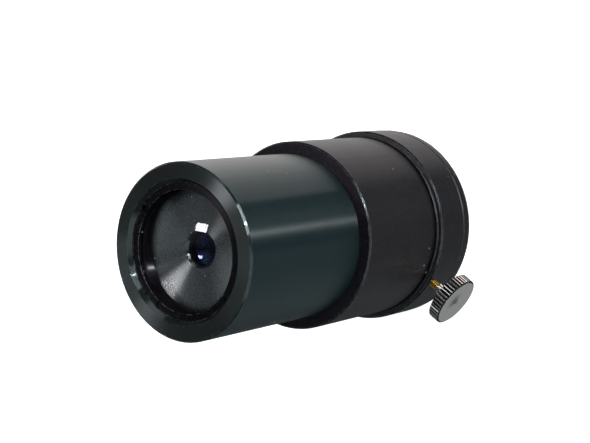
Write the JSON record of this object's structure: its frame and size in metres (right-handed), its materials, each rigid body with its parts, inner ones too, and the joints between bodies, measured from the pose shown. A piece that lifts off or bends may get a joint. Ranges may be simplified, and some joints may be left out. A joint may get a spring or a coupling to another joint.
{
  "type": "darkfield condenser",
  "caption": "Stepped black barrel with a darkfield stop and lenses inside, a recessed front lens in a slotted ring, and a rear collar socket clamped by a knurled screw.",
  "frame": {"origin": "centre of the rear face, where the socket opens", "axes": "+Z along the optical axis towards the front lens, -Y along the clamping screw towards its head"},
  "size_m": [0.0484, 0.0566, 0.0832],
  "materials": {
    "gloss_black": "glossy black anodised, fine turning marks",
    "satin_black": "satin black anodised",
    "collar_black": "satin black anodised",
    "inner_black": "matt black anodised",
    "plate_black": "turned satin black anodised",
    "clear_glass": "polished",
    "coated_glass": "polished, blue coated",
    "nickel": "nickel plated, bare brass thread",
    "pad_brass": "turned"
  },
  "bodies": {
    "barrel": {"rear_end_ring": "collar_black", "rear_collar": "collar_black", "middle_barrel": "satin_black", "rear_retaining_ring": "inner_black", "collector_rear_lens": "clear_glass", "collector_spacer": "inner_black", "collector_front_lens": "clear_glass", "front_barrel": "gloss_black", "lower_condenser_lens": "clear_glass", "lower_spacer": "inner_black", "darkfield_stop": "inner_black", "upper_spacer": "inner_black", "upper_condenser_lens": "clear_glass", "centre_lens": "coated_glass", "centre_lens_ring": "inner_black", "lens_cell": "plate_black", "front_lens": "clear_glass", "front_retaining_ring": "inner_black"},
    "pad": {"clamp_pad": "pad_brass"},
    "screw": {"thumb_screw": "nickel"}
  },
  "joints": [
    {"name": "screw_travel", "type": "slide", "parent": "barrel", "child": "pad", "axis": [0, 1, 0], "range_m": [-0.00101, 0.00201]},
    {"name": "screw_turn", "type": "hinge", "parent": "pad", "child": "screw", "pos_m": [0, -0.03, 0.0119], "axis": [0, 1, 0], "range_deg": [-900, 1800]}
  ],
  "couplings": [
    {"joint": "screw_travel", "follows": "screw_turn", "m_per_rad": 0.000063662}
  ]
}
